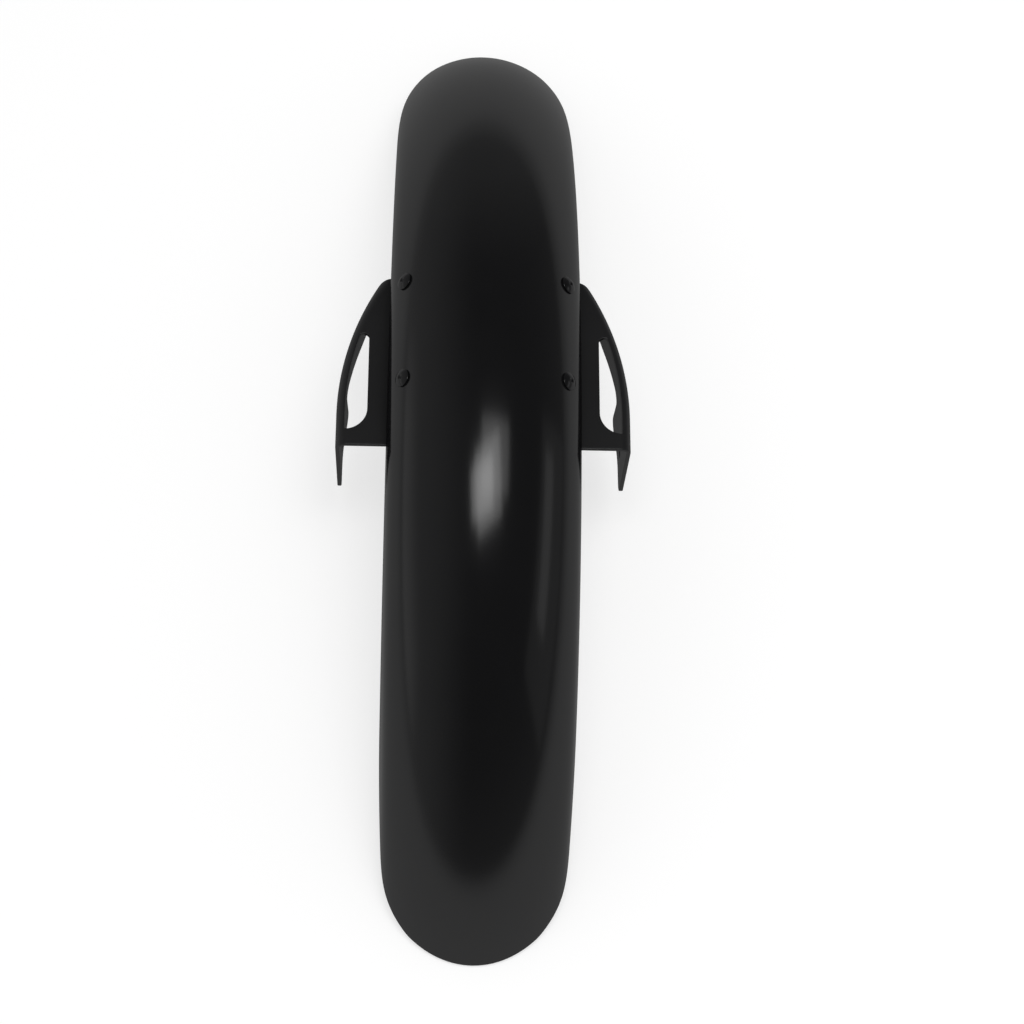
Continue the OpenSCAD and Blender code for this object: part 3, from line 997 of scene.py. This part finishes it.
def set_floor(look):
    """Pale floor whose glow, for camera, gloss and glass, fades away from the middle."""
    w = FLOOR_HALF
    mesh = bpy.data.meshes.new("floor")
    mesh.from_pydata([(-w, -w, 0), (w, -w, 0), (w, w, 0), (-w, w, 0)], [], [(0, 1, 2, 3)])
    floor = bpy.data.objects.new("floor", mesh)
    bpy.context.scene.collection.objects.link(floor)
    material = bpy.data.materials.new("floor_white")
    material.use_nodes = True
    tree = material.node_tree
    nodes, links = tree.nodes, tree.links
    shader = nodes["Principled BSDF"]
    fill(shader, {"Base Color": (*look.floor_colour, 1), "Roughness": FLOOR_ROUGHNESS,
                  "Specular IOR Level": 0.0})

    ray = nodes.new("ShaderNodeLightPath").outputs
    seen = join(tree, "MAXIMUM", ray["Is Glossy Ray"], ray["Is Transmission Ray"])
    seen = join(tree, "MAXIMUM", ray["Is Camera Ray"], seen)
    place = nodes.new("ShaderNodeTexCoord")
    reach = nodes.new("ShaderNodeVectorMath")
    reach.operation = "DISTANCE"
    fill(reach, {1: GLOW_MIDDLE})
    links.new(place.outputs["Object"], reach.inputs[0])
    fade = smooth_step(tree, reach.outputs["Value"], GLOW_NEAR, GLOW_FAR,
                       look.floor_glow, look.far_glow)
    glow = nodes.new("ShaderNodeEmission")
    links.new(join(tree, "MULTIPLY", fade, seen), glow.inputs["Strength"])
    both = nodes.new("ShaderNodeAddShader")
    links.new(shader.outputs[0], both.inputs[0])
    links.new(glow.outputs[0], both.inputs[1])
    links.new(both.outputs[0], nodes["Material Output"].inputs["Surface"])
    mesh.materials.append(material)


def set_room(scene):
    """Dim room, brighter towards the horizon and the front, with a pale wall on the left.

    Its light is a sum of smooth steps of the direction, and the wall is a product of two.
    """
    world = bpy.data.worlds.new("studio")
    scene.world = world
    world.use_nodes = True
    tree = world.node_tree
    place = tree.nodes.new("ShaderNodeTexCoord")
    split = tree.nodes.new("ShaderNodeSeparateXYZ")
    tree.links.new(place.outputs["Generated"], split.inputs[0])

    def step(axis, start, end, strength):
        """Light that grows from none at the start to the strength at the end."""
        value = split.outputs[axis]
        if start < end:
            return smooth_step(tree, value, start, end, 0.0, strength)
        return smooth_step(tree, value, end, start, strength, 0.0)

    total = join(tree, "MULTIPLY", *[step(*wall) for wall in WALL_STEPS])
    for values in ROOM_STEPS:
        total = join(tree, "ADD", total, step(*values))
    background = tree.nodes["Background"].inputs
    background["Color"].default_value = (1, 1, 1, 1)
    tree.links.new(join(tree, "ADD", total, ROOM_BASE), background["Strength"])


def set_camera(scene):
    """Camera at the photograph's view, from behind and above."""
    data = bpy.data.cameras.new("camera")
    data.sensor_fit = "HORIZONTAL"
    data.sensor_width = SENSOR
    data.lens = LENS
    data.clip_start, data.clip_end = CLIP
    camera = bpy.data.objects.new("camera", data)
    scene.collection.objects.link(camera)
    back = np.array(CAMERA_BACK)
    back /= np.linalg.norm(back)
    up = np.cross(back, CAMERA_RIGHT)
    up /= np.linalg.norm(up)
    turn = axes_turn(np.cross(up, back), up, back)
    camera.matrix_world = Matrix.Translation(CAMERA_PLACE) @ turn
    scene.camera = camera


class GUARD_OT_stage(Operator):
    """Sets the pale floor, the room, the lamps and the camera"""
    bl_idname = "guard.stage"
    bl_label = "Stage"

    def execute(self, context):
        scene = context.scene
        scene.view_settings.view_transform = "Standard"
        set_floor(scene.mudguard_studio)
        set_room(scene)
        set_lamps(scene.mudguard_studio)
        set_camera(scene)
        return {"FINISHED"}


class GUARD_PT_panel(Panel):
    """Lists the pieces of the mudguard"""
    bl_label = "Front Mudguard"
    bl_idname = "GUARD_PT_panel"
    bl_space_type = "VIEW_3D"
    bl_region_type = "UI"
    bl_category = "Mudguard"

    def draw(self, context):
        for step in STEPS:
            self.layout.operator(step.bl_idname)


STEPS = (GUARD_OT_shell, GUARD_OT_brackets, GUARD_OT_rivets, GUARD_OT_stage)
GROUPS = {"mudguard_shell": ShellSizes, "mudguard_brackets": BracketSizes,
          "mudguard_rivets": RivetSizes, "mudguard_paint": PaintFinish,
          "mudguard_studio": StudioLook}


def register():
    for group in GROUPS.values():
        bpy.utils.register_class(group)
    for name, group in GROUPS.items():
        setattr(bpy.types.Scene, name, PointerProperty(type=group))
    for step in STEPS:
        bpy.utils.register_class(step)
    bpy.utils.register_class(GUARD_PT_panel)


def unregister():
    bpy.utils.unregister_class(GUARD_PT_panel)
    for step in reversed(STEPS):
        bpy.utils.unregister_class(step)
    for name in GROUPS:
        delattr(bpy.types.Scene, name)
    for group in reversed(GROUPS.values()):
        bpy.utils.unregister_class(group)


def main():
    register()
    bpy.ops.guard.shell()
    bpy.ops.guard.brackets()
    bpy.ops.guard.rivets()
    bpy.ops.guard.stage()


if __name__ == "__main__":
    main()
